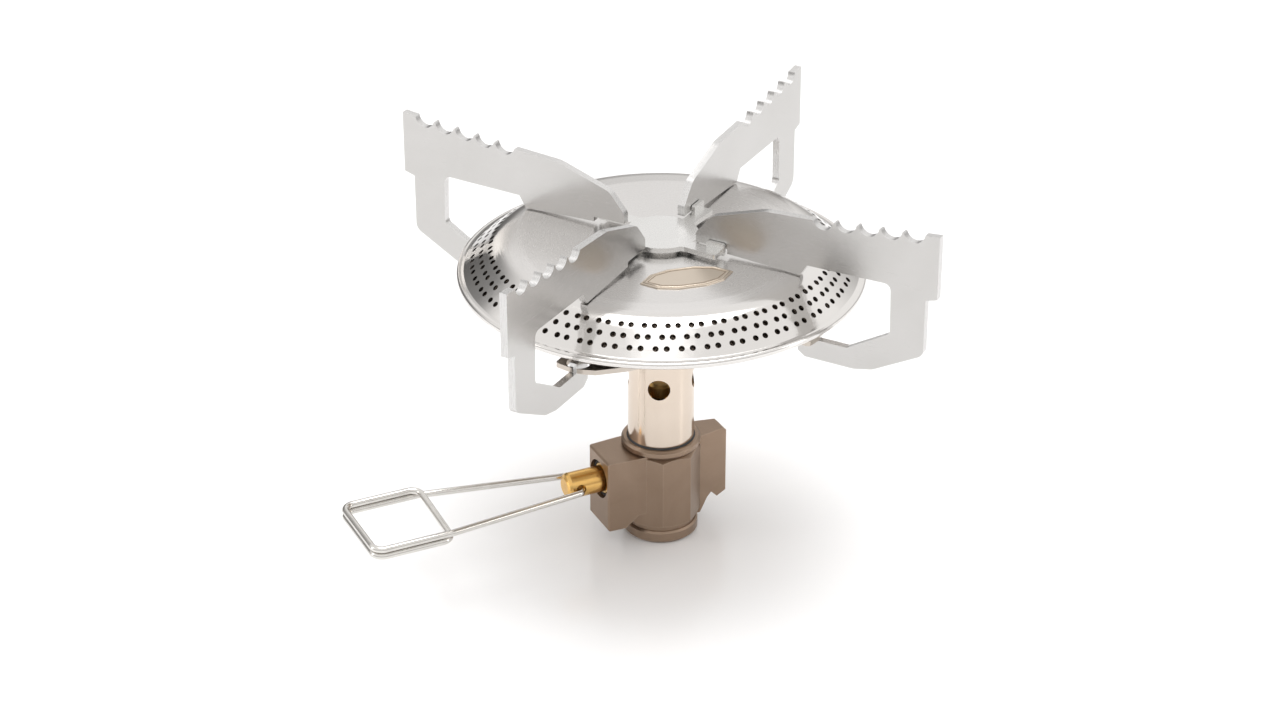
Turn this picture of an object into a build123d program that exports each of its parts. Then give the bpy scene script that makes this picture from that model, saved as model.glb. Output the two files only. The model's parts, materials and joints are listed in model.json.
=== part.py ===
from build123d import *
import os
from math import atan, cos, degrees, hypot, radians

os.makedirs("parts", exist_ok=True)

# Folding canister-top camping stove. Millimetres, +Z up. The origin is the centre of the
# gas inlet's bottom face; the four pot supports point along +X, +Y, -X and -Y.

# ---------------------------------------------------------------- driving dimensions
# valve body
collar_r = 8.95
collar_h = 3.2
neck_r = 8.3
neck_h = 1.1
column_flats = 17.7            # across the flats of the eight-sided column
ring_r = 9.45
ring_h = 2.3
body_h = 25.6                  # top of the ring, where the mixing tube enters
block_reach = 16.4             # from the stove's axis to the spindle block's end face
block_half_w = 5.4
block_root_half_w = 5.9
block_bottom = 5.3
block_top = 23.7
wing_half_w = 2.2
wing_root_half_w = 3.8
wing_top = 24.6
spindle_dir = -125.5           # degrees about +Z, the way the flame control points
spindle_z = 17.2

# gas inlet for the 7/16-28 threaded canister valve
inlet_r = 5.15                 # thread's minor radius
inlet_mouth = 0.9              # chamfer
inlet_depth = 7.5
inlet_relief_r = 5.55          # groove between the thread and the seal
inlet_relief_h = 1.6
seal_seat_r = 4.9
seal_h = 1.8
seal_hole_r = 2.8
filter_r = 3.4
filter_h = 1.5
pin_r = 1.0
pin_flange_h = 1.0
pin_proud = 1.2                # depressor pin's tip past the seal's face
gas_hole_r = 0.5

# flame control spindle and its packing
spindle_r = 3.2
spindle_tip = 25.4
spindle_hinge = 22.4           # cross hole, from the stove's axis
needle_chamber_r = 1.6
needle_chamber_end = 6.0
needle_r = 1.2
seat_face = 2.4
seat_back = 1.2
seat_bore_r = 0.5
thread_step = 0.55             # spindle's plain part down to its thread
thread_end = 10.0
gland_start = 12.6
gland_wall = 0.7
dust_ring_w = 0.85
counterbore_depth = 2.4
gland_inset = 0.8              # from the block's face in to the gland nut's face
seal_groove_depth = 1.2
seal_groove_start = 0.9        # past the thread's end
seal_cord_r = 0.6

# wire handle
wire_r = 0.8
leg_off_spindle = 1.15         # each leg's middle line outside the spindle, at the cross hole
loop_start = 35.8              # from the hinge to the inner short side
loop_length = 19.0
loop_half_w = 10.9
loop_lift = 1.2                # middle of the loop above the hinge
wire_bend = 1.4
loop_bend = 2.6
wire_end_gap = 0.5             # half the space between the wire's two ends in the hole

# mixing tube and jet
tube_r = 7.9
tube_wall = 0.6
tube_seat = 4.6                # how deep the tube sits in the valve body
air_hole_r = 2.65
air_hole_z = 41.6
air_hole_dir = -65.0
jet_holder_r = 4.4
jet_holder_top = 33.0
jet_thread_r = 2.9
jet_thread_h = 2.0
jet_r = 3.1
jet_neck_r = 2.3
jet_neck_h = 2.2
jet_top = 40.0
jet_edge = 0.6
jet_seat = 2.5
gas_way_r = 1.0
jet_orifice_r = 0.2

# burner head
rim_r = 47.5
rim_z = 70.3                   # upper face of the cap's flange
sheet = 0.5                    # cap and pan sheet
dome_h = 6.8                   # flat top above the flange
crest_drop = 0.3
crest_w = 6.4                  # rounded part between the flat top and the cone
cone_w = 7.6
flange_w = 1.5
hem_depth = 1.05
hem_lap = 2.2                  # how far the folded hem reaches back under the pan
crest_bend = 8.0
hole_r = 0.68
hole_pairs = 48
hole_pair_gap = 3.2            # degrees between the two holes of a pair
hole_row_step = 1.875          # degrees from each row to the next
hole_first_dir = 2.35
hole_row_inset = 2.3           # outermost row, inward from the cone's foot
hole_row_pitch = 2.1
hole_row_count = 3
gauze_sheet = 0.3
carrier_drop = 8.4             # carrier's underside below the cap's flange
carrier_t = 1.2
carrier_inset = 4.0            # carrier's edge between the lobes, inside the hinge axes
pan_floor_w = 14.1             # flat floor of the pan, out from the tube
pan_lip_h = 2.4
tube_above_carrier = 2.9
spreader_w = 6.1               # disc's edge, out from the tube
spreader_t = 0.8
spreader_lift = 7.7            # above the pan's floor
spreader_leg_r = 1.5
spreader_leg_inset = 2.5
collar_ring_h = 2.0
collar_ring_wall = 1.6

# pot supports
arm_t = 1.8
arm_count = 4
pivot_inset = 9.0              # each vertical hinge axis, inside the rim
finger_w = 5.0
finger_proud = 1.1             # above the carrier
window_gap = 11.2              # from the rim out to the post
post_w = 8.3
head_overhang = 2.7            # the toothed part past the post
head_h = 16.0                  # outer end of the toothed part
arm_rise = 17.5                # tops of the supports above the flat of the cap
top_slope = 0.094
top_flat_w = 30.8              # toothed stretch, in from the outer end
top_shoulder_w = 12.0          # smooth slope inward from the teeth
top_shoulder_drop = 3.6
tooth_inset = 6.18
tooth_pitch = 5.53
tooth_count = 5
tooth_depth = 2.1
tooth_r = 2.6
window_rise = 3.3              # top of the window above the flat of the cap
window_foot_rise = 6.2
post_foot_rise = 2.8
bar_h = 4.9
bar_kink_out = 0.7             # past the rim
tip_r = 9.4
tip_step_r = 17.5

# centre plate
plate_t = 1.2
plate_lift = 0.8               # gap between the dome and the plate
plate_core_r = 8.6
tab_end = 16.4
tab_w = 3.8
ear_h = 1.6
ear_start = 12.6
ear_t = 0.9
ear_end = 17.2
spacer_r = 7.0

# badge
badge_length = 21.8
badge_w = 9.6
badge_t = 0.3
badge_place = 20.2
badge_dir = -45.0

# ---------------------------------------------------------------- clearances
turn_clear = 0.06              # radial, turning spindle and wire ends
swing_clear = 0.15             # beside and under the swinging pot supports
groove_clear = 0.15            # along the spindle, seal in its groove
bar_clear = 0.1                # between the carrier and each support's lower bar
tip_clear = 0.2                # under each support's inner tip
finger_clear = 0.06            # radial, support finger in the carrier's hole
needle_clear = 0.1             # needle to seat when closed
air_gap = 0.02                 # between a moving seal and its bore
hem_clear = 0.15               # pan's edge to the inside of the folded hem
gauze_clear = 0.6              # under the cap's cone

# ---------------------------------------------------------------- derived sizes
tube_foot = body_h - tube_seat
tube_inner_r = tube_r - tube_wall
bore_r = spindle_r + turn_clear
thread_bore_r = spindle_r - thread_step
gland_r = spindle_r + gland_wall
counterbore_r = gland_r + dust_ring_w
seal_groove_w = 2 * seal_cord_r + groove_clear
leg_gap = spindle_r + leg_off_spindle
inlet_thread_end = inlet_depth - inlet_relief_h
pin_tip = inlet_depth - pin_proud
gland_face = block_reach - gland_inset
counterbore_start = block_reach - counterbore_depth
seal_top = inlet_depth + seal_h
pin_flange_top = seal_top + pin_flange_h
filter_top = pin_flange_top + filter_h
dome_z = rim_z + dome_h
crest_z = dome_z - crest_drop
cone_foot_r = rim_r - flange_w
crest_r = cone_foot_r - cone_w
dome_flat_r = crest_r - crest_w
cone_slope = (crest_z - rim_z) / cone_w
hole_rows = [cone_foot_r - hole_row_inset - i * hole_row_pitch for i in range(hole_row_count)][::-1]
carrier_z = rim_z - carrier_drop
carrier_top = carrier_z + carrier_t
pan_flat_r = tube_r + pan_floor_w
tube_top = carrier_top + tube_above_carrier
spreader_r = tube_r + spreader_w
spreader_z = carrier_top + sheet + spreader_lift
spreader_leg_place = spreader_r - spreader_leg_inset
plate_z = dome_z + plate_lift
plate_top = plate_z + plate_t
jet_foot = tube_foot - jet_thread_h
arm_pivot = rim_r - pivot_inset
carrier_r = arm_pivot - carrier_inset
window_outer = rim_r + window_gap
post_outer = window_outer + post_w
arm_reach = post_outer + head_overhang
arm_top = dome_z + arm_rise
wide_foot_z = arm_top - head_h + 0.3
window_top = dome_z + window_rise
finger_top = carrier_top + finger_proud
bar_top = carrier_z - bar_clear
bar_bottom = bar_top - bar_h
bar_kink = rim_r + bar_kink_out
post_foot_z = bar_top + post_foot_rise
window_foot_z = bar_top + window_foot_rise
tip_z = plate_top + tip_clear
top_flat_start = arm_reach - top_flat_w
tooth_first = arm_reach - tooth_inset - (tooth_count - 1) * tooth_pitch


# ---------------------------------------------------------------- helpers
def save(name, shape):
    """Write one sub-part."""
    export_step(shape, f"parts/{name}.step")


def turned(points):
    """A solid turned about Z from its half outline, given as (radius, height)."""
    outline = Polyline(*[(r, 0, z) for r, z in points], close=True)
    return revolve(make_face(outline), Axis.Z)


def ring(outer, inner, low, high):
    """A plain ring, or a disc where the inner radius is zero."""
    return turned([(inner, low), (outer, low), (outer, high), (inner, high)])


def pressed(points, bends, thickness):
    """A round sheet part: its middle line, with bends, thickened and turned about Z."""
    line = FilletPolyline(*points, radius=bends)
    return revolve(Plane.XZ * trace(line, thickness), Axis.Z)


def at_spindle(shape):
    """Place a shape turned about Z on the spindle's axis, its height becoming reach."""
    return Pos(0, 0, spindle_z) * Rot(0, 0, spindle_dir) * Rot(0, 90, 0) * shape


def around(shape, count, start=0.0):
    """Copies of a shape turned evenly about Z."""
    return [Rot(0, 0, start + i * 360 / count) * shape for i in range(count)]


# ---------------------------------------------------------------- valve body
def column():
    """The eight-sided column between the collar and the ring, with chamfered corners."""
    corner_r = column_flats / 2 / cos(radians(22.5))
    foot = collar_h + neck_h
    prism = Pos(0, 0, foot) * extrude(
        Rot(0, 0, spindle_dir + 22.5) * RegularPolygon(corner_r, 8), body_h - ring_h - foot)
    ease = corner_r - neck_r
    limit = turned([(0, foot), (neck_r, foot), (corner_r + 0.01, foot + 0.6 * ease),
                    (corner_r + 0.01, body_h - ring_h - 0.7 * ease),
                    (corner_r - ease, body_h - ring_h), (0, body_h - ring_h)])
    return prism & limit


def side_plate(plan, profile):
    """A wall standing out along +X: a plan outline, cut to a side profile."""
    wall = extrude(make_face(Polyline(*plan, close=True)), 2 * body_h, both=True)
    side = Plane.XZ * make_face(Polyline(*profile, close=True))
    return wall & extrude(side, 2 * body_h, both=True)


def spindle_block():
    """The block that houses the flame control spindle."""
    plan = [(0, -block_root_half_w), (column_flats / 2, -block_root_half_w),
            (block_reach, -block_half_w), (block_reach, block_half_w),
            (column_flats / 2, block_root_half_w), (0, block_root_half_w)]
    profile = [(0, block_top), (block_reach, block_top), (block_reach, block_bottom),
               (block_reach - 4.4, block_bottom), (column_flats / 2 - 0.3, block_bottom + 2.8),
               (0, block_bottom + 2.8)]
    block = side_plate(plan, profile)
    end = block.faces().sort_by(Axis.X)[-1]
    return fillet(end.edges(), 0.5)


def rear_wing():
    """The thin wing opposite the spindle, with the notch in its foot."""
    plan = [(0, -wing_root_half_w), (column_flats / 2, -wing_root_half_w),
            (block_reach, -wing_half_w), (block_reach, wing_half_w),
            (column_flats / 2, wing_root_half_w), (0, wing_root_half_w)]
    profile = [(0, wing_top), (block_reach - 0.9, wing_top), (block_reach, wing_top - 0.9),
               (block_reach, block_bottom + 1.7), (block_reach - 2.6, block_bottom + 0.8),
               (block_reach - 4.3, block_bottom + 2.6), (block_reach - 5.5, block_bottom + 1.6),
               (collar_r - 0.2, collar_h + 0.2), (0, collar_h + 0.2)]
    return Rot(0, 0, 180) * side_plate(plan, profile)


def valve_body():
    collar = turned([(0, 0), (collar_r - 0.7, 0), (collar_r, 0.7), (collar_r, collar_h - 0.4),
                     (collar_r - 0.4, collar_h), (0, collar_h)])
    neck = ring(neck_r, 0, collar_h, collar_h + neck_h)
    ring_foot = body_h - ring_h
    top_ring = turned([(0, ring_foot), (ring_r - 0.8, ring_foot), (ring_r, ring_foot + 0.8),
                       (ring_r, body_h - 0.5), (ring_r - 0.5, body_h), (0, body_h)])
    walls = Rot(0, 0, spindle_dir) * (spindle_block() + rear_wing())
    solid = collar + neck + column() + top_ring + walls
    inlet = turned([(0, -1), (inlet_r + inlet_mouth, -1), (inlet_r + inlet_mouth, 0),
                    (inlet_r, inlet_mouth), (inlet_r, inlet_thread_end),
                    (inlet_relief_r, inlet_thread_end), (inlet_relief_r, inlet_depth),
                    (seal_seat_r, inlet_depth), (seal_seat_r, seal_top),
                    (filter_r, seal_top), (filter_r, filter_top), (0, filter_top)])
    way_in = Rot(0, 0, spindle_dir) * Pos(seat_face + 0.55, 0, filter_top - 0.5) * Cylinder(
        gas_hole_r, spindle_z - filter_top, align=(Align.CENTER, Align.CENTER, Align.MIN))
    way_out = ring(gas_way_r, 0, spindle_z, jet_foot + 0.5)
    jet_bore = ring(jet_thread_r, 0, jet_foot, tube_foot)
    tube_bore = ring(tube_r, 0, tube_foot, body_h + 1)
    bores = turned([(0, -gas_way_r / 2), (gas_way_r / 2, -gas_way_r / 2), (gas_way_r / 2, seat_back),
                    (needle_chamber_r, seat_back), (needle_chamber_r, needle_chamber_end),
                    (thread_bore_r, needle_chamber_end), (thread_bore_r, thread_end),
                    (bore_r, thread_end), (bore_r, gland_start), (gland_r, gland_start),
                    (gland_r, counterbore_start), (counterbore_r, counterbore_start),
                    (counterbore_r, block_reach + 1), (0, block_reach + 1)])
    return solid - inlet - way_in - way_out - jet_bore - tube_bore - at_spindle(bores)


def inlet_seal():
    return ring(seal_seat_r, seal_hole_r, inlet_depth, seal_top)


def depressor_pin():
    pin = ring(pin_r, 0, pin_tip, pin_flange_top) + ring(filter_r, 0, seal_top, pin_flange_top)
    hole_place = (pin_r + filter_r) / 2
    holes = around(Pos(hole_place, 0, seal_top) * Cylinder(gas_hole_r, 4 * pin_flange_h), 4)
    return fillet(pin.edges().sort_by(Axis.Z)[0], 0.3) - holes


def inlet_filter():
    return ring(filter_r, 0, pin_flange_top, filter_top)


# ---------------------------------------------------------------- flame control
def valve_seat():
    return at_spindle(ring(needle_chamber_r, seat_bore_r, seat_back, seat_face))


def valve_spindle():
    groove_start = thread_end + seal_groove_start
    groove_end = groove_start + seal_groove_w
    groove_r = spindle_r - seal_groove_depth
    thread_r = thread_bore_r - turn_clear
    solid = turned([(0, seat_face + needle_clear), (0.3, seat_face + needle_clear),
                    (needle_r, seat_face + 2.2), (needle_r, needle_chamber_end + needle_clear),
                    (thread_r, needle_chamber_end + needle_clear), (thread_r, thread_end - 0.4),
                    (spindle_r - 0.6, thread_end + 0.2), (spindle_r, thread_end + 0.5),
                    (spindle_r, groove_start), (groove_r, groove_start),
                    (groove_r, groove_end), (spindle_r, groove_end),
                    (spindle_r, spindle_tip - 1.1), (spindle_r - 0.35, spindle_tip - 0.4),
                    (spindle_r - 1.1, spindle_tip), (0, spindle_tip)])
    pin_hole_r = wire_r + turn_clear
    mouth = pin_hole_r + 0.45
    flare = turned([(0, -spindle_r - 1), (mouth, -spindle_r - 1), (mouth, -spindle_r + 0.5),
                    (pin_hole_r, -spindle_r + 1.1), (pin_hole_r, spindle_r - 1.1),
                    (mouth, spindle_r - 0.5), (mouth, spindle_r + 1), (0, spindle_r + 1)])
    cross_hole = Pos(0, 0, spindle_hinge) * Rot(90, 0, 0) * flare
    return at_spindle(solid - cross_hole)


def spindle_seal():
    groove_middle = thread_end + seal_groove_start + seal_groove_w / 2
    seal_r = bore_r - air_gap - seal_cord_r
    return at_spindle(Pos(0, 0, groove_middle) * Torus(seal_r, seal_cord_r))


def gland_nut():
    return at_spindle(turned([(bore_r, gland_start), (gland_r, gland_start),
                              (gland_r, gland_face - 0.3), (gland_r - 0.3, gland_face),
                              (bore_r, gland_face)]))


def dust_ring():
    low = counterbore_start
    high = gland_face - 0.1
    solid = ring(counterbore_r, gland_r, low, high)
    return at_spindle(fillet(solid.edges().group_by(Axis.Z)[-1], 0.3))


def wire_handle():
    """Both wire ends enter the cross hole; between them the wire makes nearly two turns."""
    high = loop_lift + wire_r + 0.05
    low = loop_lift - wire_r - 0.05
    far = loop_start + loop_length
    w = loop_half_w
    line = FilletPolyline(
        (0, wire_end_gap, 0), (0, leg_gap, 0), (loop_start, w, high), (far, w, high),
        (far, -w, high), (loop_start, -w, high), (loop_start, w, low), (far, w, low),
        (far, -w, low), (loop_start, -w, low), (0, -leg_gap, 0), (0, -wire_end_gap, 0),
        radius=[wire_bend, loop_bend] + [loop_bend] * 6 + [loop_bend, wire_bend])
    section = Plane(origin=line @ 0, z_dir=line % 0) * Circle(wire_r)
    wire = sweep(section, path=line)
    return Pos(0, 0, spindle_z) * Rot(0, 0, spindle_dir) * Pos(spindle_hinge, 0, 0) * wire


# ---------------------------------------------------------------- mixing tube and jet
def mixing_tube():
    tube = ring(tube_r, tube_inner_r, tube_foot, tube_top)
    drill = Pos(tube_r, 0, air_hole_z) * Rot(0, 90, 0) * Cylinder(air_hole_r, tube_r)
    return tube - around(drill, 4, air_hole_dir)


def jet_holder():
    body = ring(jet_thread_r, 0, jet_foot, tube_foot)
    body += ring(jet_holder_r, 0, tube_foot, jet_holder_top)
    body = chamfer(body.edges().sort_by(Axis.Z)[-1], 0.8)
    socket = ring(jet_neck_r, 0, jet_holder_top - jet_seat, jet_holder_top)
    return body - ring(gas_way_r, 0, jet_foot, jet_holder_top) - socket


def jet():
    foot = jet_holder_top - jet_seat
    head = jet_holder_top + jet_neck_h
    return turned([(gas_way_r, foot), (jet_neck_r, foot), (jet_neck_r, head), (jet_r, head),
                   (jet_r, jet_top - jet_edge), (jet_r - jet_edge, jet_top),
                   (jet_orifice_r, jet_top), (jet_orifice_r, jet_top - 1),
                   (gas_way_r, jet_top - 1.8)])


# ---------------------------------------------------------------- burner head
def arm_carrier():
    """The plate under the pan: a disc with four lobes that take the support fingers."""
    p = arm_pivot
    lobe = make_face(Polyline((carrier_r - 6, -9.5), (p - 1.6, -4.7), (p + 2.2, -4.7), (p + 2.8, -0.6),
                              (p + 2.3, 2.4), (p + 1.3, 5.1), (p - 3.4, 10.2), (carrier_r - 5, 14.5),
                              close=True))
    plan = Circle(carrier_r) + around(fillet(lobe.vertices().sort_by(Axis.X)[-5:], 0.8), arm_count)
    finger_hole_r = hypot(finger_w, arm_t) / 2 + finger_clear
    plan -= around(Pos(arm_pivot, 0) * Circle(finger_hole_r), arm_count)
    plan -= Circle(tube_r)
    return Pos(0, 0, carrier_z) * extrude(plan, carrier_t)


def carrier_collar():
    """The ring brazed on the tube that the carrier sits on."""
    high = carrier_z
    low = carrier_z - collar_ring_h
    outer = tube_r + collar_ring_wall
    return turned([(tube_r, low), (outer - 0.8, low), (outer, low + 0.8), (outer, high),
                   (tube_r, high)])


def burner_pan():
    """Shallow dish: a lip round the tube, a flat floor and a cone out to the crimped rim."""
    floor = carrier_top + sheet / 2
    flange = rim_z - 1.5 * sheet
    line = [(tube_r + sheet / 2, carrier_top + pan_lip_h), (tube_r + sheet / 2, floor),
            (pan_flat_r, floor), (rim_r - 3.2, flange), (rim_r - sheet - hem_clear, flange)]
    return pressed(line, [0.5, 3.0, 1.5], sheet)


def cap_line():
    """The cap's middle line from its centre out to the turned-down, folded hem."""
    t = sheet / 2
    out = rim_r - t
    hem_z = rim_z - hem_depth - t
    return [(0, dome_z - t), (dome_flat_r, dome_z - t), (crest_r - 0.2, crest_z - t),
            (cone_foot_r - 0.3, rim_z - t + 0.15), (cone_foot_r + 0.4, rim_z - t),
            (out, rim_z - t), (out, hem_z), (out - hem_lap, hem_z)]


def cone_angle():
    return degrees(atan(cone_slope))


def burner_cap():
    shell = pressed(cap_line(), [9.0, crest_bend, 0.6, 0.6, 0.35, 0.35], sheet)
    holes = []
    for row, r in enumerate(hole_rows):
        z = rim_z + (cone_foot_r - r) * cone_slope - 0.3
        drill = Pos(r, 0, z) * Rot(0, cone_angle(), 0) * Cylinder(hole_r, 4 * sheet)
        for side in (-0.5, 0.5):
            start = hole_first_dir - row * hole_row_step + side * hole_pair_gap
            holes += around(drill, hole_pairs, start)
    return shell - holes


def flame_gauze():
    """The wire cloth behind the flame holes, lying against the inside of the cone."""
    drop = (sheet + gauze_clear + gauze_sheet / 2) / cos(radians(cone_angle()))
    inner = hole_rows[0] - 1.2
    outer = hole_rows[2] + 0.4
    high = rim_z + (cone_foot_r - inner) * cone_slope - drop
    low = rim_z + (cone_foot_r - outer) * cone_slope - drop
    return pressed([(inner - 3.0, high), (inner, high), (outer, low)], [0.5], gauze_sheet)


def spreader():
    """The disc over the tube's mouth that spreads the gas, on three legs from the pan."""
    disc = ring(spreader_r, 0, spreader_z, spreader_z + spreader_t)
    leg_h = spreader_z - carrier_top - sheet
    leg = Pos(spreader_leg_place, 0, carrier_top + sheet + leg_h / 2) * Cylinder(spreader_leg_r, leg_h)
    for copy in around(leg, 3, 15):
        disc += copy
    return disc


def center_spacer():
    return ring(spacer_r, 0, dome_z, plate_z)


def center_plate():
    """Raised plate with a tab and an upturned ear beside the inner end of each support."""
    side = arm_t / 2 + swing_clear
    tab = make_face(Polyline((3, -side - tab_w - 1.2), (plate_core_r - 0.4, -side - tab_w + 0.6),
                             (tab_end, -side - tab_w), (tab_end, -side), (3, -side), close=True))
    tab = fillet(tab.vertices().sort_by(Axis.X)[-2:], 0.5)
    plan = Circle(plate_core_r) + around(tab, arm_count)
    plate = Pos(0, 0, plate_z) * extrude(plan, plate_t)
    ear_len = ear_end - ear_start
    ear = Pos((ear_start + ear_end) / 2, -side - ear_t / 2, plate_z) * Box(
        ear_len, ear_t, plate_t + ear_h, align=(Align.CENTER, Align.CENTER, Align.MIN))
    ear = fillet(ear.edges().filter_by(Axis.Y).group_by(Axis.Z)[-1], 0.6)
    for copy in around(ear, arm_count):
        plate += copy
    return plate


def badge_plate():
    """A blank badge with cut corners."""
    a = badge_length / 2
    b = badge_w / 2
    top = [(-a, 0), (-a * 0.72, b * 0.68), (-a * 0.3, b), (a * 0.3, b), (a * 0.72, b * 0.68)]
    bottom = [(-x, -y) for x, y in top]
    slab = extrude(make_face(Polyline(*top, *bottom, close=True)), badge_t)
    solid = chamfer(slab.faces().sort_by(Axis.Z)[-1].edges(), 0.12)
    return Rot(0, 0, badge_dir) * Pos(badge_place, 0, dome_z) * Rot(0, 0, 90) * solid


# ---------------------------------------------------------------- pot supports
def support_outline():
    """Side view of one support as (radius, height), open towards the burner."""
    step = finger_w / 2
    inner = arm_pivot - step
    return [(arm_reach, arm_top), (arm_reach, wide_foot_z + 0.4), (post_outer, wide_foot_z - 0.4),
            (post_outer, post_foot_z), (arm_reach - 15, bar_bottom + 1.0),
            (arm_pivot + 11.5, bar_bottom), (inner + 1.8, bar_bottom), (inner, bar_bottom + 1.3),
            (inner, finger_top), (arm_pivot + step, finger_top), (arm_pivot + step, bar_top),
            (bar_kink, bar_top), (window_outer, window_foot_z), (window_outer - 0.3, window_top),
            (arm_pivot - 0.8, window_top - 0.3), (inner, dome_z + swing_clear),
            (tip_step_r, dome_z + 1.0), (tip_step_r, tip_z), (tip_r, tip_z),
            (tip_r, tip_z + 2.4), (tip_r + 4.0, arm_top - 8.0),
            (top_flat_start - top_shoulder_w, arm_top - top_shoulder_drop),
            (top_flat_start, arm_top - (arm_reach - top_flat_start) * top_slope)]


def pot_support():
    outline = make_face(Polyline(*support_outline(), close=True))
    points = support_outline()
    rounds = {3: 2.5, 4: 3.0, 5: 3.0, 12: 1.6, 13: 1.6, 19: 1.6, 20: 3.0, 21: 8.0, 22: 4.0}
    for index, radius in rounds.items():
        r, z = points[index]
        corner = outline.vertices().sort_by_distance((r, z, 0))[0]
        outline = fillet(corner, radius)
    for i in range(tooth_count):
        r = tooth_first + i * tooth_pitch
        top = arm_top - (arm_reach - r) * top_slope
        outline -= Pos(r, top + tooth_r - tooth_depth) * Circle(tooth_r)
    return extrude(Plane.XZ * outline, arm_t / 2, both=True)


# ---------------------------------------------------------------- write every sub-part
save("valve_body", valve_body())
save("inlet_seal", inlet_seal())
save("depressor_pin", depressor_pin())
save("inlet_filter", inlet_filter())
save("valve_seat", valve_seat())
save("gland_nut", gland_nut())
save("dust_ring", dust_ring())
save("jet_holder", jet_holder())
save("jet", jet())
save("mixing_tube", mixing_tube())
save("carrier_collar", carrier_collar())
save("arm_carrier", arm_carrier())
save("burner_pan", burner_pan())
save("burner_cap", burner_cap())
save("flame_gauze", flame_gauze())
save("spreader", spreader())
save("center_spacer", center_spacer())
save("center_plate", center_plate())
save("badge_plate", badge_plate())
save("valve_spindle", valve_spindle())
save("spindle_seal", spindle_seal())
save("wire_handle", wire_handle())

support = pot_support()
for number in range(arm_count):
    save(f"pot_support_{number + 1}", Rot(0, 0, number * 360 / arm_count) * support)
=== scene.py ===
"""Looks for the canister-top camping stove: finishes, fine metalwork, floor, light and camera."""
import json
import math

import bmesh
import bpy
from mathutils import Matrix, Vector


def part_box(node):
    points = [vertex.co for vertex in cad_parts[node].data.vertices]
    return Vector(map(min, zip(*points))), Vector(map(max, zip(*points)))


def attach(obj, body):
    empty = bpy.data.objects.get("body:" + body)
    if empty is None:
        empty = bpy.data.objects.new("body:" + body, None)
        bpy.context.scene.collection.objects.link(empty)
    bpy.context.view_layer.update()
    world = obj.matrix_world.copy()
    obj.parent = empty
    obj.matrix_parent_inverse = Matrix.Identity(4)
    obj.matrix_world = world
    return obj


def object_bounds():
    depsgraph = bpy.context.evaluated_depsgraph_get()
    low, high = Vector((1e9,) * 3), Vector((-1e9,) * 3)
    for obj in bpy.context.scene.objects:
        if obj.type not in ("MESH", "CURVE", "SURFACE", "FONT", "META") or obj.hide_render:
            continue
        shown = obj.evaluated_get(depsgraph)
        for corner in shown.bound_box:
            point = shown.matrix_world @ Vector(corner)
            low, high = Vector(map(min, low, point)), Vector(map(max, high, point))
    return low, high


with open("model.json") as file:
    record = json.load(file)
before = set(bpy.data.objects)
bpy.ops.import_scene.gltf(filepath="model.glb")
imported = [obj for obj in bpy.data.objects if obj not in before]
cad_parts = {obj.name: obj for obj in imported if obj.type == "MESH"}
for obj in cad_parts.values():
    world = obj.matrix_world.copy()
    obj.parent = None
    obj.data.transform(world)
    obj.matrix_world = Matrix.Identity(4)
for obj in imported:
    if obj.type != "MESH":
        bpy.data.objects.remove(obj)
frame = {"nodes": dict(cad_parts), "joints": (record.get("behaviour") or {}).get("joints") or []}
cad_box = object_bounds()

MM = 0.001
UP = Vector((0, 0, 1))
scene = bpy.context.scene

# ------------------------------------------------------------------ places taken from the frame
CRIMP_RISE = 0.75 * MM         # crimp line above the lower edge of the cap's hem

tube_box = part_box("mixing_tube")
cap_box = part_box("burner_cap")
body_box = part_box("valve_body")
rim_radius = cap_box[1][0]
tube_radius = tube_box[1][0]
crimp_line = cap_box[0][2] + CRIMP_RISE
spindle_joint = next(j for j in frame["joints"] if j["name"] == "flame_control")
spindle_way = Vector(spindle_joint["axis"]).normalized()


# ------------------------------------------------------------------ node helpers
FLOAT = "NodeSocketFloat"
VECTOR = "NodeSocketVector"
COLOUR_SIDES = (6, 7)          # a mix node's two colour sockets
VALUE_SIDES = (2, 3)           # a mix node's two value sockets


def node(tree, kind, place=(0, 0), **values):
    """A shader node with its sockets or settings filled in by name."""
    made = tree.nodes.new(kind)
    made.location = place
    for key, value in values.items():
        if hasattr(made, key):
            setattr(made, key, value)
        else:
            made.inputs[key.replace("_", " ")].default_value = value
    return made


def join(tree, source, target):
    """Link an output to an input."""
    tree.links.new(source, target)


def feed(tree, source, target):
    """Fill an input from an output, a number or a red, green and blue triple."""
    if isinstance(source, (int, float)):
        target.default_value = source
    elif isinstance(source, tuple):
        target.default_value = (*source, 1)
    else:
        join(tree, source, target)


def group(name, inputs, outputs):
    """An empty node group with its named sockets; returns the tree, its input and its output."""
    tree = bpy.data.node_groups.new(name, "ShaderNodeTree")
    for label, kind, value in inputs:
        socket = tree.interface.new_socket(label, in_out="INPUT", socket_type=kind)
        if value is not None:
            socket.default_value = value
    for label, kind in outputs:
        tree.interface.new_socket(label, in_out="OUTPUT", socket_type=kind)
    return tree, tree.nodes.new("NodeGroupInput"), tree.nodes.new("NodeGroupOutput")


def maths(tree, operation, *sides, clamp=False):
    """A maths node; each side is a socket or a number."""
    made = node(tree, "ShaderNodeMath", operation=operation, use_clamp=clamp)
    for index, side in enumerate(sides):
        feed(tree, side, made.inputs[index])
    return made.outputs[0]


WEAR_AND_GLINT_SHARPNESS = 7.0           # how fast the paler edge (rubbed wear, and painted highlight on the supports) fades away from an edge
PATCH_GAIN = 1.6               # how patchy the paler edge is
PATCH_BIAS = -0.25
SPECKS_PER_CLOUD = 60.0
EDGE_GAIN = 1.5                # how soon a turned face counts as a cut edge


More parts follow.
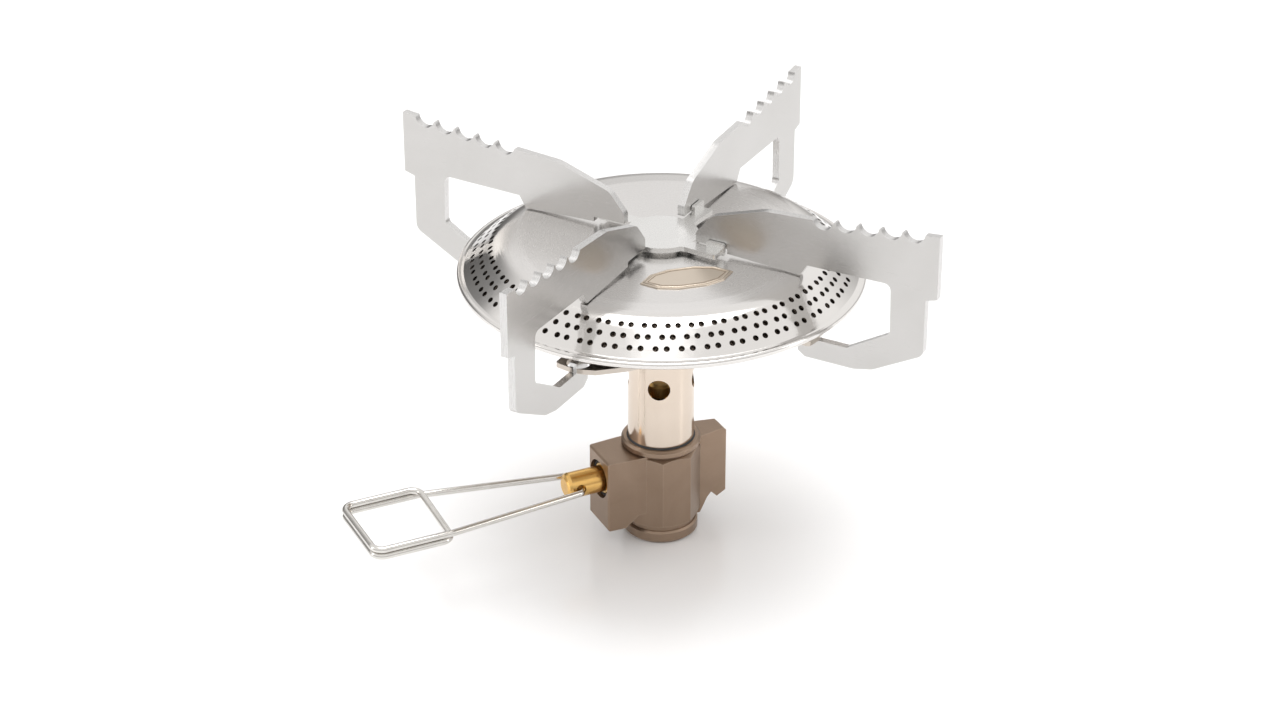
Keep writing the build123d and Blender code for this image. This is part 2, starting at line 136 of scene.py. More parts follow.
def edge_wear_and_glint_group():
    """Where edges turn paler, as rubbed wear on the body and as a painted highlight on the supports:
    rounded-edge shading against the true face, broken up.
    """
    tree, into, out = group("edge_wear_and_glint", [("Radius", FLOAT, 0.0004), ("Breakup", FLOAT, 900.0),
                                          ("Amount", FLOAT, 1.0)], [("Mask", FLOAT)])
    rounded = node(tree, "ShaderNodeBevel", samples=4)
    join(tree, into.outputs["Radius"], rounded.inputs["Radius"])
    facing = node(tree, "ShaderNodeNewGeometry")
    dot = node(tree, "ShaderNodeVectorMath", operation="DOT_PRODUCT")
    join(tree, rounded.outputs[0], dot.inputs[0])
    join(tree, facing.outputs["Normal"], dot.inputs[1])
    bend = maths(tree, "SUBTRACT", 1.0, dot.outputs["Value"])
    bend = maths(tree, "MULTIPLY", bend, WEAR_AND_GLINT_SHARPNESS, clamp=True)
    coords = node(tree, "ShaderNodeTexCoord")
    patches = node(tree, "ShaderNodeTexNoise", Detail=4.0, Roughness=0.6)
    join(tree, coords.outputs["Object"], patches.inputs["Vector"])
    join(tree, into.outputs["Breakup"], patches.inputs["Scale"])
    # this mask is rubbed wear on the body and a painted highlight along the supports' rims
    kept = maths(tree, "MULTIPLY_ADD", patches.outputs["Fac"], PATCH_GAIN, PATCH_BIAS)
    wear_and_glint = maths(tree, "MULTIPLY", bend, kept, clamp=True)
    wear_and_glint = maths(tree, "MULTIPLY", wear_and_glint, into.outputs["Amount"], clamp=True)
    join(tree, wear_and_glint, out.inputs["Mask"])
    return tree


def handling_group():
    """Faint smears and cloudiness from handling: a slow mask, and a fine one for specks."""
    tree, into, out = group("handling", [("Scale", FLOAT, 60.0), ("Contrast", FLOAT, 1.0)],
                            [("Cloud", FLOAT), ("Speck", FLOAT)])
    coords = node(tree, "ShaderNodeTexCoord")
    cloud = node(tree, "ShaderNodeTexNoise", Detail=5.0, Roughness=0.55, Distortion=0.6)
    join(tree, coords.outputs["Object"], cloud.inputs["Vector"])
    join(tree, into.outputs["Scale"], cloud.inputs["Scale"])
    centred = maths(tree, "SUBTRACT", cloud.outputs["Fac"], 0.5)
    spread = maths(tree, "MULTIPLY", centred, into.outputs["Contrast"])
    join(tree, maths(tree, "ADD", spread, 0.5, clamp=True), out.inputs["Cloud"])
    fine = node(tree, "ShaderNodeTexNoise", Detail=3.0, Roughness=0.7)
    join(tree, coords.outputs["Object"], fine.inputs["Vector"])
    join(tree, maths(tree, "MULTIPLY", into.outputs["Scale"], SPECKS_PER_CLOUD), fine.inputs["Scale"])
    join(tree, fine.outputs["Fac"], out.inputs["Speck"])
    return tree


def grain_group():
    """Fine drawn or rolled lines in sheet metal, stretched along the chosen vector."""
    tree, into, out = group("metal_grain", [("Vector", VECTOR, None), ("Fineness", FLOAT, 4000.0)],
                            [("Lines", FLOAT)])
    lines = node(tree, "ShaderNodeTexNoise", Detail=3.0, Roughness=0.65)
    join(tree, into.outputs["Vector"], lines.inputs["Vector"])
    join(tree, into.outputs["Fineness"], lines.inputs["Scale"])
    join(tree, lines.outputs["Fac"], out.inputs["Lines"])
    return tree


def spun_group():
    """Coordinates that run round the stove's axis, for lathe-turned and spun metal."""
    tree, into, out = group("spun_coords", [("Along", FLOAT, 0.01)],
                            [("Vector", VECTOR), ("Radius", FLOAT), ("Height", FLOAT)])
    coords = node(tree, "ShaderNodeTexCoord")
    split = node(tree, "ShaderNodeSeparateXYZ")
    join(tree, coords.outputs["Object"], split.inputs[0])
    square = maths(tree, "MULTIPLY", split.outputs["X"], split.outputs["X"])
    other = maths(tree, "MULTIPLY", split.outputs["Y"], split.outputs["Y"])
    radius = maths(tree, "SQRT", maths(tree, "ADD", square, other))
    turn = maths(tree, "ARCTAN2", split.outputs["Y"], split.outputs["X"])
    packed = node(tree, "ShaderNodeCombineXYZ")
    join(tree, maths(tree, "MULTIPLY", turn, into.outputs["Along"]), packed.inputs["X"])
    join(tree, radius, packed.inputs["Y"])
    join(tree, split.outputs["Z"], packed.inputs["Z"])
    join(tree, packed.outputs[0], out.inputs["Vector"])
    join(tree, radius, out.inputs["Radius"])
    join(tree, split.outputs["Z"], out.inputs["Height"])
    return tree


def sheared_edge_group():
    """Picks out the cut edges of a plate: 1 where the surface turns away from the plate's face."""
    tree, into, out = group("sheared_edge", [("Face", VECTOR, None)], [("Edge", FLOAT)])
    coords = node(tree, "ShaderNodeTexCoord")
    dot = node(tree, "ShaderNodeVectorMath", operation="DOT_PRODUCT")
    join(tree, coords.outputs["Normal"], dot.inputs[0])
    join(tree, into.outputs["Face"], dot.inputs[1])
    facing = maths(tree, "ABSOLUTE", dot.outputs["Value"])
    edge = maths(tree, "SUBTRACT", 1.0, facing)
    join(tree, maths(tree, "MULTIPLY", edge, EDGE_GAIN, clamp=True), out.inputs["Edge"])
    return tree


EDGE_WEAR_AND_GLINT = edge_wear_and_glint_group()
SHEARED_EDGE = sheared_edge_group()
HANDLING = handling_group()
GRAIN = grain_group()
SPUN = spun_group()


def place_group(tree, which, **values):
    """One of the shared groups, with its inputs filled in by name."""
    made = tree.nodes.new("ShaderNodeGroup")
    made.node_tree = which
    for key, value in values.items():
        made.inputs[key].default_value = value
    return made


def shader(name, **constants):
    """A material with a Principled BSDF whose fixed values are set on its own sockets."""
    material = bpy.data.materials.new(name)
    material.use_nodes = True
    tree = material.node_tree
    surface = tree.nodes["Principled BSDF"]
    for key, value in constants.items():
        surface.inputs[key.replace("_", " ")].default_value = value
    return material, tree, surface


def mix_colours(tree, mask, *sides):
    """Blend two colours by a mask; each is a socket or a red, green and blue triple."""
    mix = node(tree, "ShaderNodeMix", data_type="RGBA")
    join(tree, mask, mix.inputs[0])
    for index, side in zip(COLOUR_SIDES, sides):
        feed(tree, side, mix.inputs[index])
    return mix.outputs[2]


def mix_values(tree, mask, *sides):
    """Blend two value sockets by a mask."""
    mix = node(tree, "ShaderNodeMix", data_type="FLOAT")
    join(tree, mask, mix.inputs[0])
    for index, side in zip(VALUE_SIDES, sides):
        feed(tree, side, mix.inputs[index])
    return mix.outputs[0]


def span(tree, value, low, high):
    """Stretch a 0 to 1 value over a range."""
    made = node(tree, "ShaderNodeMapRange")
    made.inputs["To Min"].default_value = low
    made.inputs["To Max"].default_value = high
    join(tree, value, made.inputs["Value"])
    return made.outputs[0]


def banded(tree, value, low, high):
    """0 below the low value, 1 above the high value, smooth between."""
    made = node(tree, "ShaderNodeMapRange", interpolation_type="SMOOTHSTEP")
    made.inputs["From Min"].default_value = low
    made.inputs["From Max"].default_value = high
    join(tree, value, made.inputs["Value"])
    return made.outputs[0]


def bump(tree, surface, height, strength, distance):
    """Fine relief from a height."""
    made = node(tree, "ShaderNodeBump", Strength=strength, Distance=distance)
    join(tree, height, made.inputs["Height"])
    join(tree, made.outputs[0], surface.inputs["Normal"])


def stretched(tree, scale):
    """Object coordinates squashed so that a noise becomes long lines."""
    coords = node(tree, "ShaderNodeTexCoord")
    mapping = node(tree, "ShaderNodeMapping")
    mapping.inputs["Scale"].default_value = scale
    join(tree, coords.outputs["Object"], mapping.inputs["Vector"])
    return mapping.outputs[0]


# ------------------------------------------------------------------ finishes
FLAT_EDGE = rim_radius - 14 * MM    # the cap's fine polish starts to turn to mirror here
CONE_EDGE = rim_radius - 9 * MM     # and is all mirror here
HEM_EDGE = rim_radius - 0.4 * MM    # the cap's hem lies outside this radius
CRIMP_HALF = 0.1 * MM          # half the crimp line's width
BRASS_EDGE = tube_radius - 0.45 * MM    # the tube is bare brass inside this radius
NICKEL_EDGE = tube_radius - 0.2 * MM    # and plated outside this one
STRAW_SHARE = 0.35             # strongest heat tint on the cap
POLISH_RELIEF = 0.03           # polish lines against the depth of the crimp line
WEAVE_SCALE = 460.0


def support_steel(name, face, along):
    """Tumbled stainless plate: satin faces with faint rolling lines, rims with a painted highlight,
    streaked cut edges.
    """
    material, tree, surface = shader(name, Metallic=1.0, Anisotropic=0.2)
    lines = place_group(tree, GRAIN, Fineness=9000.0)
    join(tree, stretched(tree, along), lines.inputs["Vector"])
    cloud = place_group(tree, HANDLING, Scale=42.0, Contrast=1.3)
    wear_and_glint = place_group(tree, EDGE_WEAR_AND_GLINT, Radius=0.00022, Breakup=500.0, Amount=0.6)
    cut = place_group(tree, SHEARED_EDGE, Face=face)
    across = node(tree, "ShaderNodeTexNoise", Scale=5200.0, Detail=2.0)
    join(tree, stretched(tree, (1.0, 1.0, 0.06)), across.inputs["Vector"])
    tone = mix_colours(tree, cloud.outputs["Cloud"], (0.52, 0.51, 0.495), (0.59, 0.58, 0.57))
    edges = mix_colours(tree, across.outputs["Fac"], (0.56, 0.55, 0.54), (0.72, 0.715, 0.71))
    sides = mix_colours(tree, cut.outputs["Edge"], tone, edges)
    # painted highlight: a brighter colour along the plate's rims, where rounded edges would catch the
    # light
    rim_highlight = mix_colours(tree, cloud.outputs["Speck"], (0.74, 0.735, 0.73), (0.84, 0.835, 0.83))
    join(tree, mix_colours(tree, wear_and_glint.outputs["Mask"], sides, rim_highlight), surface.inputs["Base Color"])
    satin = span(tree, lines.outputs["Lines"], 0.22, 0.30)
    sheared = span(tree, across.outputs["Fac"], 0.20, 0.36)
    join(tree, mix_values(tree, cut.outputs["Edge"], satin, sheared), surface.inputs["Roughness"])
    relief = mix_values(tree, cut.outputs["Edge"], lines.outputs["Lines"], across.outputs["Fac"])
    bump(tree, surface, relief, 0.05, 0.00002)
    return material


def polished_cap():
    """Stainless cap: fine circular polish on the flat, near-mirror on the cone, a crimp line on the
    hem and a faint straw tint where the flames warm it."""
    material, tree, surface = shader("polished_cap", Metallic=1.0, Anisotropic=0.6)
    spun = place_group(tree, SPUN, Along=0.002)
    lines = place_group(tree, GRAIN, Fineness=5200.0)
    join(tree, spun.outputs["Vector"], lines.inputs["Vector"])
    cloud = place_group(tree, HANDLING, Scale=18.0, Contrast=0.8)
    cone = banded(tree, spun.outputs["Radius"], FLAT_EDGE, CONE_EDGE)
    tone = mix_colours(tree, cloud.outputs["Cloud"], (0.70, 0.68, 0.665), (0.765, 0.755, 0.745))
    warm = maths(tree, "MULTIPLY", cone, cloud.outputs["Cloud"])
    warm = maths(tree, "MULTIPLY", warm, STRAW_SHARE)
    straw = mix_colours(tree, cloud.outputs["Speck"], (0.74, 0.69, 0.62), (0.78, 0.74, 0.69))
    join(tree, mix_colours(tree, warm, tone, straw), surface.inputs["Base Color"])
    flat = span(tree, lines.outputs["Lines"], 0.20, 0.32)
    mirror = span(tree, lines.outputs["Lines"], 0.06, 0.14)
    join(tree, mix_values(tree, cone, flat, mirror), surface.inputs["Roughness"])
    off_line = maths(tree, "SUBTRACT", spun.outputs["Height"], crimp_line)
    groove = maths(tree, "COMPARE", off_line, 0.0, CRIMP_HALF)
    on_hem = maths(tree, "GREATER_THAN", spun.outputs["Radius"], HEM_EDGE)
    sunk = maths(tree, "MULTIPLY", groove, on_hem)
    polish = maths(tree, "MULTIPLY", lines.outputs["Lines"], POLISH_RELIEF)
    relief = maths(tree, "SUBTRACT", polish, sunk)
    bump(tree, surface, relief, 0.35, 0.00006)
    return material


def pressed_steel(name, low, high, rough_low, rough_high):
    """Plain pressed stainless with draw lines running round it."""
    material, tree, surface = shader(name, Metallic=1.0)
    spun = place_group(tree, SPUN, Along=0.004)
    lines = place_group(tree, GRAIN, Fineness=3800.0)
    join(tree, spun.outputs["Vector"], lines.inputs["Vector"])
    cloud = place_group(tree, HANDLING, Scale=40.0, Contrast=1.6)
    join(tree, mix_colours(tree, cloud.outputs["Cloud"], low, high), surface.inputs["Base Color"])
    join(tree, span(tree, lines.outputs["Lines"], rough_low, rough_high), surface.inputs["Roughness"])
    bump(tree, surface, lines.outputs["Lines"], 0.12, 0.00003)
    return material


def nickel_tube():
    """Warm nickel plate outside, with the tube's bare brass showing inside."""
    material, tree, surface = shader("nickel_tube", Metallic=1.0)
    spun = place_group(tree, SPUN, Along=0.05)
    lines = place_group(tree, GRAIN, Fineness=900.0)
    join(tree, spun.outputs["Vector"], lines.inputs["Vector"])
    cloud = place_group(tree, HANDLING, Scale=70.0, Contrast=1.3)
    tone = mix_colours(tree, cloud.outputs["Cloud"], (0.64, 0.545, 0.455), (0.72, 0.63, 0.545))
    bare = mix_colours(tree, cloud.outputs["Speck"], (0.72, 0.44, 0.15), (0.86, 0.58, 0.24))
    outside = banded(tree, spun.outputs["Radius"], BRASS_EDGE, NICKEL_EDGE)
    join(tree, mix_colours(tree, outside, bare, tone), surface.inputs["Base Color"])
    join(tree, span(tree, cloud.outputs["Cloud"], 0.10, 0.20), surface.inputs["Roughness"])
    bump(tree, surface, lines.outputs["Lines"], 0.05, 0.00003)
    return material


def anodised_body():
    """Bead-blasted aluminium, anodised a warm grey-brown, rubbed paler on its edges."""
    material, tree, surface = shader("anodised_body", Metallic=0.85)
    cloud = place_group(tree, HANDLING, Scale=90.0, Contrast=1.5)
    wear_and_glint = place_group(tree, EDGE_WEAR_AND_GLINT, Radius=0.0005, Breakup=500.0, Amount=0.55)
    tone = mix_colours(tree, cloud.outputs["Cloud"], (0.262, 0.184, 0.130), (0.340, 0.248, 0.182))
    rubbed = mix_colours(tree, wear_and_glint.outputs["Mask"], tone, (0.52, 0.41, 0.32))
    join(tree, rubbed, surface.inputs["Base Color"])
    join(tree, span(tree, cloud.outputs["Speck"], 0.26, 0.38), surface.inputs["Roughness"])
    bump(tree, surface, cloud.outputs["Speck"], 0.22, 0.00004)
    return material


def brass(name, low, high, rough_low, rough_high):
    """Turned brass with tool lines round the spindle's axis and slight tarnish."""
    material, tree, surface = shader(name, Metallic=1.0)
    coords = node(tree, "ShaderNodeTexCoord")
    reach = node(tree, "ShaderNodeVectorMath", operation="DOT_PRODUCT")
    reach.inputs[1].default_value = spindle_way
    join(tree, coords.outputs["Object"], reach.inputs[0])
    packed = node(tree, "ShaderNodeCombineXYZ")
    join(tree, reach.outputs["Value"], packed.inputs["X"])
    lines = place_group(tree, GRAIN, Fineness=6500.0)
    join(tree, packed.outputs[0], lines.inputs["Vector"])
    cloud = place_group(tree, HANDLING, Scale=160.0, Contrast=1.8)
    join(tree, mix_colours(tree, cloud.outputs["Cloud"], low, high), surface.inputs["Base Color"])
    join(tree, span(tree, cloud.outputs["Cloud"], rough_low, rough_high), surface.inputs["Roughness"])
    bump(tree, surface, lines.outputs["Lines"], 0.25, 0.00003)
    return material


def bright_wire():
    """Drawn spring wire: bright, with die lines and tiny nicks."""
    material, tree, surface = shader("bright_wire", Metallic=1.0)
    cloud = place_group(tree, HANDLING, Scale=220.0, Contrast=1.6)
    tone = mix_colours(tree, cloud.outputs["Cloud"], (0.62, 0.60, 0.57), (0.74, 0.72, 0.69))
    join(tree, tone, surface.inputs["Base Color"])
    join(tree, span(tree, cloud.outputs["Cloud"], 0.12, 0.24), surface.inputs["Roughness"])
    bump(tree, surface, cloud.outputs["Speck"], 0.08, 0.00002)
    return material


def black_rubber():
    """Nitrile rubber: matt, slightly dusty."""
    material, tree, surface = shader("black_rubber", Metallic=0.0)
    cloud = place_group(tree, HANDLING, Scale=260.0, Contrast=1.4)
    tone = mix_colours(tree, cloud.outputs["Cloud"], (0.012, 0.012, 0.013), (0.035, 0.034, 0.033))
    join(tree, tone, surface.inputs["Base Color"])
    join(tree, span(tree, cloud.outputs["Cloud"], 0.38, 0.6), surface.inputs["Roughness"])
    bump(tree, surface, cloud.outputs["Speck"], 0.15, 0.00003)
    return material


def wire_cloth():
    """Woven gauze behind the flame holes: crossed wires in a dark brown that is partly painted shade of
    the holes, with near-black painted shade in the gaps between them.
    """
    material, tree, surface = shader("wire_cloth", Metallic=1.0)
    coords = node(tree, "ShaderNodeTexCoord")
    waves = []
    for direction in ("X", "Y"):
        wave = node(tree, "ShaderNodeTexWave", wave_type="BANDS", bands_direction=direction,
                    Scale=WEAVE_SCALE)
        join(tree, coords.outputs["Object"], wave.inputs["Vector"])
        waves.append(wave.outputs["Fac"])
    weave = maths(tree, "MAXIMUM", waves[0], waves[1])
    # painted shade: near-black in the gaps between the wires, and the wires themselves darkened to read
    # as the shaded flame holes
    tone = mix_colours(tree, weave, (0.012, 0.010, 0.009), (0.13, 0.105, 0.085))
    join(tree, tone, surface.inputs["Base Color"])
    join(tree, span(tree, weave, 0.75, 0.35), surface.inputs["Roughness"])
    bump(tree, surface, weave, 0.6, 0.0001)
    return material


def etched_line():
    """Dark etch that outlines the badge, worn thin in places."""
    material, tree, surface = shader("etched_line", Metallic=0.6)
    cloud = place_group(tree, HANDLING, Scale=400.0, Contrast=2.0)
    tone = mix_colours(tree, cloud.outputs["Cloud"], (0.16, 0.11, 0.07), (0.34, 0.26, 0.19))
    join(tree, tone, surface.inputs["Base Color"])
    join(tree, span(tree, cloud.outputs["Speck"], 0.45, 0.7), surface.inputs["Roughness"])
    bump(tree, surface, cloud.outputs["Speck"], 0.2, 0.00002)
    return material


def sintered_bronze():
    """The inlet filter: pressed bronze grains, each darkened towards its edge as painted shade in the
    pores between grains.
    """
    material, tree, surface = shader("sintered_bronze", Metallic=0.9)
    coords = node(tree, "ShaderNodeTexCoord")
    grains = node(tree, "ShaderNodeTexVoronoi", Scale=4200.0)
    join(tree, coords.outputs["Object"], grains.inputs["Vector"])
    # painted shade: the colour darkens away from each grain's middle, into the pores between grains
    tone = mix_colours(tree, grains.outputs["Distance"], (0.52, 0.30, 0.14), (0.16, 0.08, 0.04))
    join(tree, tone, surface.inputs["Base Color"])
    join(tree, span(tree, grains.outputs["Distance"], 0.4, 0.8), surface.inputs["Roughness"])
    bump(tree, surface, grains.outputs["Distance"], 0.5, 0.0001)
    return material


ETCHED_LINE = etched_line()
FINISHES = {
    "valve_body": anodised_body(),
    "mixing_tube": nickel_tube(),
    "burner_cap": polished_cap(),
    "burner_pan": pressed_steel("pan_steel", (0.50, 0.47, 0.44), (0.60, 0.57, 0.54), 0.22, 0.36),
    # the carrier's warm cream tone is partly heat tint and partly a painted warm reflection
    "arm_carrier": pressed_steel("carrier_steel", (0.50, 0.45, 0.40), (0.60, 0.55, 0.49), 0.24, 0.38),
    "spreader": pressed_steel("spreader_steel", (0.30, 0.27, 0.25), (0.44, 0.40, 0.37), 0.35, 0.5),
    "center_plate": pressed_steel("plate_steel", (0.72, 0.715, 0.70), (0.80, 0.795, 0.785), 0.20, 0.33),
    "badge_plate": pressed_steel("badge_steel", (0.60, 0.52, 0.43), (0.68, 0.60, 0.51), 0.26, 0.38),
    "flame_gauze": wire_cloth(),
    "inlet_filter": sintered_bronze(),
    "wire_handle": bright_wire(),
    "pot_support_1": support_steel("support_steel_x", (0, 1, 0), (0.02, 1.0, 1.0)),
    "pot_support_2": support_steel("support_steel_y", (1, 0, 0), (1.0, 0.02, 1.0)),
    "valve_spindle": brass("spindle_brass", (0.70, 0.40, 0.11), (0.83, 0.53, 0.19), 0.16, 0.30),
    "gland_nut": brass("gland_brass", (0.60, 0.38, 0.13), (0.74, 0.50, 0.20), 0.20, 0.34),
    "jet": brass("jet_brass", (0.86, 0.54, 0.18), (0.94, 0.66, 0.28), 0.40, 0.55),
    "dust_ring": black_rubber(),
}
SAME_FINISH = {
    "center_spacer": "center_plate", "pot_support_3": "pot_support_1", "pot_support_4": "pot_support_2",
    "jet_holder": "jet", "valve_seat": "jet", "depressor_pin": "jet", "carrier_collar": "gland_nut",
    "inlet_seal": "dust_ring", "spindle_seal": "dust_ring",
}
for name, other in SAME_FINISH.items():
    FINISHES[name] = FINISHES[other]

for name, cad_node in frame["nodes"].items():
    cad_node.data.materials.clear()
    cad_node.data.materials.append(FINISHES[name])


# ------------------------------------------------------------------ fine metalwork
INLET_BORE = 5.15 * MM         # radius of the gas inlet's bore
THREAD_PITCH = 25.4 / 28 * MM
THREAD_LOW = 1.25 * MM
THREAD_HIGH = 5.55 * MM
THREAD_DEPTH = 0.26 * MM
THREAD_ROOT = 0.40 * MM        # half the ridge's width at the wall
THREAD_CREST = 0.07 * MM       # and at its crest
THREAD_BITE = 0.02 * MM        # how far the ridge's root stands into the wall
STEPS_PER_TURN = 72
RUN_OUT_STEPS = 24             # steps over which the ridge grows and dies away
RUN_OUT_LEAST = 0.05
RING_STEPS = 128
BADGE_HALF_LONG = 10.9 * MM
BADGE_HALF_WIDE = 4.8 * MM
BADGE_SINK = 0.03 * MM         # how far the border and line stand into the badge


def piece(name, mesh_data, finish, body):
    """Turn a bmesh into an object that rides on a body."""
    mesh = bpy.data.meshes.new(name)
    mesh_data.normal_update()
    mesh_data.to_mesh(mesh)
    mesh_data.free()
    made = bpy.data.objects.new(name, mesh)
    scene.collection.objects.link(made)
    mesh.materials.append(finish)
    for face in mesh.polygons:
        face.use_smooth = True
    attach(made, body)
    return made


def swept(path, section, closed=True):
    """Skin a closed section along frames (point, across, up); the ends join or are capped."""
    work = bmesh.new()
    rings = []
    for point, across, up in path:
        rings.append([work.verts.new(point + across * u + up * v) for u, v in section])
    count = len(section)
    last = len(rings) if closed else len(rings) - 1
    for i in range(last):
        here, there = rings[i], rings[(i + 1) % len(rings)]
        for k in range(count):
            work.faces.new((here[k], here[(k + 1) % count], there[(k + 1) % count], there[k]))
    if not closed:
        work.faces.new(list(reversed(rings[0])))
        work.faces.new(rings[-1])
    bmesh.ops.recalc_face_normals(work, faces=work.faces)
    return work


def level_ring(radius, height, steps):
    """Frames round the stove's axis at one radius and height."""
    frames = []
    for i in range(steps):
        turn = 2 * math.pi * i / steps
        out = Vector((math.cos(turn), math.sin(turn), 0))
        frames.append((out * radius + UP * height, out, UP))
    return frames


def inlet_thread():
    """The 28-per-inch thread in the gas inlet, standing in from the bore's wall."""
    turns = (THREAD_HIGH - THREAD_LOW) / THREAD_PITCH
    total = int(turns * STEPS_PER_TURN)
    frames = []
    for i in range(total + 1):
        turn = 2 * math.pi * i / STEPS_PER_TURN
        grow = min(1.0, i / RUN_OUT_STEPS, (total - i) / RUN_OUT_STEPS)
        out = Vector((math.cos(turn), math.sin(turn), 0))
        height = THREAD_LOW + THREAD_PITCH * i / STEPS_PER_TURN
        root = out * (INLET_BORE + THREAD_BITE) + UP * height
        frames.append((root, out * max(grow, RUN_OUT_LEAST), UP))
    section = [(0, -THREAD_ROOT), (0, THREAD_ROOT), (-THREAD_DEPTH, THREAD_CREST),
               (-THREAD_DEPTH, -THREAD_CREST)]
    return piece("inlet_thread", swept(frames, section, closed=False), FINISHES["valve_body"],
                 "stove")


def tube_seal_line():
    """Thin black line of sealant where the mixing tube leaves the valve body."""
    section = [(-0.03 * MM, -0.05 * MM), (0.36 * MM, -0.05 * MM), (0.27 * MM, 0.05 * MM),
               (0.10 * MM, 0.18 * MM), (0.03 * MM, 0.42 * MM), (-0.03 * MM, 0.45 * MM)]
    ring = level_ring(tube_radius, body_box[1][2], RING_STEPS)
    return piece("tube_fillet", swept(ring, section), FINISHES["dust_ring"], "stove")


def braze_fillet():
    """Braze run under the carrier's ring, where it meets the tube."""
    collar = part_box("carrier_collar")
    section = [(-0.03 * MM, 0.05 * MM), (0.7 * MM, 0.05 * MM), (0.45 * MM, -0.10 * MM),
               (0.16 * MM, -0.36 * MM), (0.03 * MM, -0.8 * MM), (-0.03 * MM, -0.8 * MM)]
    ring = level_ring(tube_radius, collar[0][2], RING_STEPS)
    return piece("carrier_braze", swept(ring, section), FINISHES["gland_nut"], "stove")


def badge_outline(half_long, half_wide):
    """The badge's ten-cornered outline; its far half is its near half turned about the middle."""
    near = [(-1, 0), (-0.72, 0.68), (-0.3, 1), (0.3, 1), (0.72, 0.68)]
    far = [(-x, -y) for x, y in near]
    return [(half_long * x, half_wide * y) for x, y in near + far]


def badge_border():
    """Raised border and a plain inner line round the blank badge."""
    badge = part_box("badge_plate")
    middle = Vector(((badge[0][0] + badge[1][0]) / 2, (badge[0][1] + badge[1][1]) / 2, badge[1][2]))
    outward = Vector((middle.x, middle.y, 0)).normalized()
    along = Vector((-outward.y, outward.x, 0))
    made = []
    for name, inset, wide, high in (("badge_border", 0.55 * MM, 0.26 * MM, 0.12 * MM),
                                    ("badge_line", 1.15 * MM, 0.16 * MM, 0.04 * MM)):
        frames = []
        for x, y in badge_outline(BADGE_HALF_LONG - inset * 1.5, BADGE_HALF_WIDE - inset):
            spoke = (along * x + outward * y).normalized()
            frames.append((middle + along * x + outward * y, spoke, UP))
        crest = wide * 0.6
        section = [(-wide, -BADGE_SINK), (wide, -BADGE_SINK), (crest, high), (-crest, high)]
        finish = ETCHED_LINE if name == "badge_line" else FINISHES["badge_plate"]
        made.append(piece(name, swept(frames, section), finish, "stove"))
    return made


inlet_thread()
tube_seal_line()
braze_fillet()
badge_border()


# ------------------------------------------------------------------ floor, light and camera
FLOOR_HALF = 3.0
FLOOR_GAP = 0.02 * MM          # keeps the floor just clear of the stove's base
VIEW_FROM = -60.95             # degrees round the stove's axis
VIEW_UP = 28.59                # degrees above level
VIEW_DISTANCE = 0.7186
AIM_HEIGHT = 0.0455
AIM_LEFT = 0.00498             # the camera aims this far left of the stove's axis
LENS = 85.75
SENSOR = 36.0
ROOM_LEVEL = 1.42
SIDE_GREY = 0.34
MIDDLE_GREY = 0.78
UPPER_GREY = 0.72
OVERHEAD = 2.6
GREY_STOPS = ((0.48, MIDDLE_GREY), (0.80, UPPER_GREY), (0.93, UPPER_GREY))
PATCH_TURN = 35                # the dim patch lies this many degrees round from straight behind
PATCH_RISE = 0.12
PATCH_OUTER = 0.78             # cosines of the angles where the patch starts and is full
PATCH_INNER = 0.95
PATCH_LEVEL = 0.3
LIT_HEIGHT = 0.06              # the lights aim at the axis at this height
SOFTBOXES = (                  # name, turn from the view, radius, height, size, watts, colour
    ("key_box", 170, 0.25, 1.5, (0.9, 0.9), 6.0, (1, 1, 1)),
    ("left_strip", -80, 1.2, 0.45, (0.25, 0.9), 1.6, (1, 0.98, 0.96)),
    ("right_strip", 75, 1.2, 0.4, (0.2, 0.9), 1.3, (1, 0.97, 0.94)),
)


def floor():
    """A wide glossy white floor, which belongs to the stage and not to the stove."""
    mesh = bpy.data.meshes.new("floor")
    half = FLOOR_HALF
    mesh.from_pydata([(-half, -half, 0), (half, -half, 0), (half, half, 0), (-half, half, 0)], [],
                     [(0, 1, 2, 3)])
    made = bpy.data.objects.new("floor", mesh)
    scene.collection.objects.link(made)
    made.location.z = cad_box[0][2] - FLOOR_GAP
    acrylic = shader("white_acrylic", Base_Color=(0.93, 0.93, 0.935, 1), Roughness=0.22)[0]
    made.data.materials.append(acrylic)


def softbox(name, spot, aim, size, power, colour):
    """A rectangular light at a spot, turned towards its aim."""
    data = bpy.data.lights.new(name, "AREA")
    data.shape = "RECTANGLE"
    data.size, data.size_y = size
    data.energy = power
    data.color = colour
    made = bpy.data.objects.new(name, data)
    scene.collection.objects.link(made)
    made.location = spot
    made.rotation_euler = (aim - spot).to_track_quat("-Z", "Y").to_euler()


def around_axis(azimuth, radius, height):
    """A point by its turn in degrees, its radius and its height."""
    turn = math.radians(azimuth)
    return Vector((radius * math.cos(turn), radius * math.sin(turn), height))


def camera():
    """The view, aimed beside the stove's axis so that the handle is in the frame too."""
    data = bpy.data.cameras.new("camera")
    data.lens = LENS
    data.sensor_width = SENSOR
    data.clip_start = 0.01
    data.clip_end = 20.0
    made = bpy.data.objects.new("camera", data)
    scene.collection.objects.link(made)
    aim = around_axis(VIEW_FROM - 90, AIM_LEFT, AIM_HEIGHT)
    flat = VIEW_DISTANCE * math.cos(math.radians(VIEW_UP))
    rise = VIEW_DISTANCE * math.sin(math.radians(VIEW_UP))
    made.location = aim + around_axis(VIEW_FROM, flat, rise)
    made.rotation_euler = (aim - made.location).to_track_quat("-Z", "Y").to_euler()
    scene.camera = made


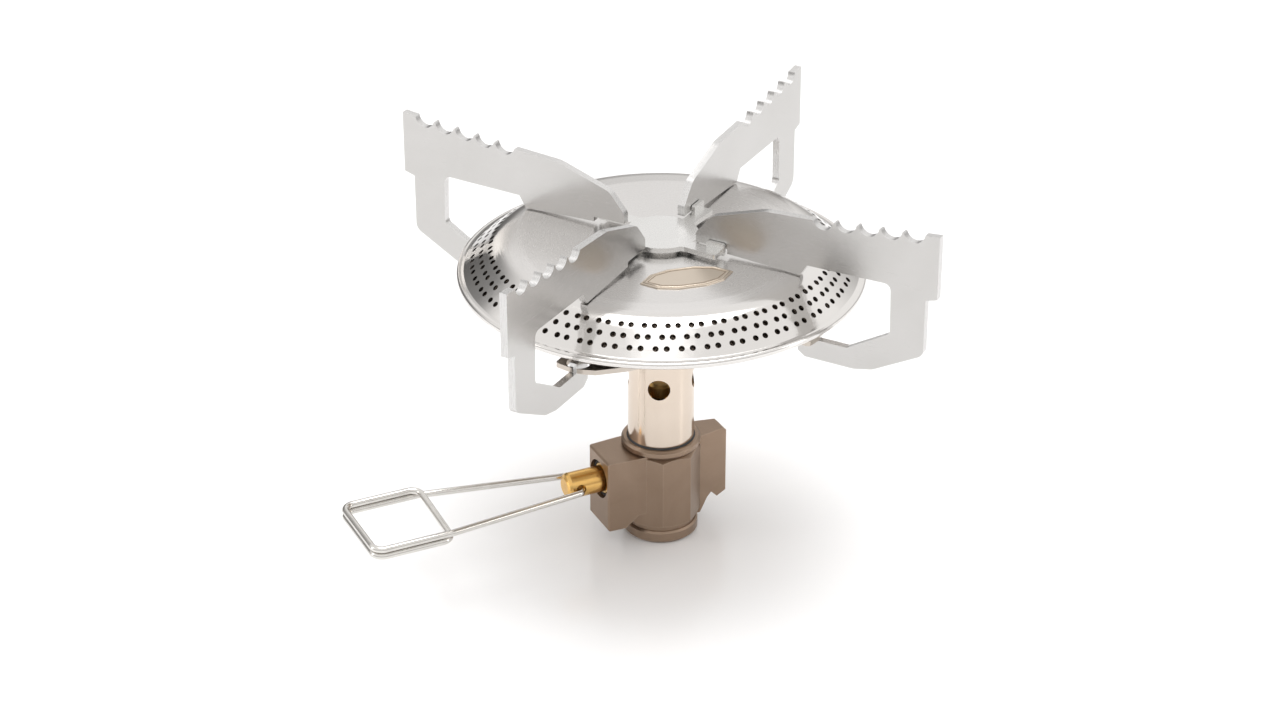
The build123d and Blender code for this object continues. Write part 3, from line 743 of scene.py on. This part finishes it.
def studio_world():
    """A pale room: bright overhead, greyer round the sides, with a dimmer patch behind on the left."""
    world = bpy.data.worlds.new("studio")
    scene.world = world
    world.use_nodes = True
    tree = world.node_tree
    backdrop = tree.nodes["Background"]
    coords = node(tree, "ShaderNodeTexCoord")
    split = node(tree, "ShaderNodeSeparateXYZ")
    join(tree, coords.outputs["Generated"], split.inputs[0])
    ramp = node(tree, "ShaderNodeValToRGB")
    join(tree, split.outputs["Z"], ramp.inputs[0])
    low, high = ramp.color_ramp.elements
    low.position, low.color = 0.05, (SIDE_GREY, SIDE_GREY * 0.98, SIDE_GREY * 0.96, 1)
    high.position, high.color = 1.0, (OVERHEAD, OVERHEAD, OVERHEAD, 1)
    for height, grey in GREY_STOPS:
        stop = ramp.color_ramp.elements.new(height)
        stop.color = (grey, grey * 0.99, grey * 0.98, 1)
    toward = node(tree, "ShaderNodeVectorMath", operation="DOT_PRODUCT")
    behind = around_axis(VIEW_FROM + 180 + PATCH_TURN, 1.0, PATCH_RISE)
    toward.inputs[1].default_value = behind.normalized()
    join(tree, coords.outputs["Generated"], toward.inputs[0])
    patch = node(tree, "ShaderNodeMapRange", interpolation_type="SMOOTHSTEP")
    patch.inputs["From Min"].default_value = PATCH_OUTER
    patch.inputs["From Max"].default_value = PATCH_INNER
    patch.inputs["To Min"].default_value = 1.0
    patch.inputs["To Max"].default_value = PATCH_LEVEL
    join(tree, toward.outputs["Value"], patch.inputs["Value"])
    shade = node(tree, "ShaderNodeVectorMath", operation="SCALE")
    join(tree, ramp.outputs[0], shade.inputs[0])
    join(tree, patch.outputs[0], shade.inputs["Scale"])
    join(tree, shade.outputs[0], backdrop.inputs["Color"])
    backdrop.inputs["Strength"].default_value = ROOM_LEVEL


def lights():
    """A large softbox overhead, a strip at each side and the room itself."""
    heart = Vector((0, 0, LIT_HEIGHT))
    for name, turn, radius, height, size, power, colour in SOFTBOXES:
        softbox(name, around_axis(VIEW_FROM + turn, radius, height), heart, size, power, colour)
    studio_world()


floor()
lights()
camera()
scene.view_settings.view_transform = "Standard"
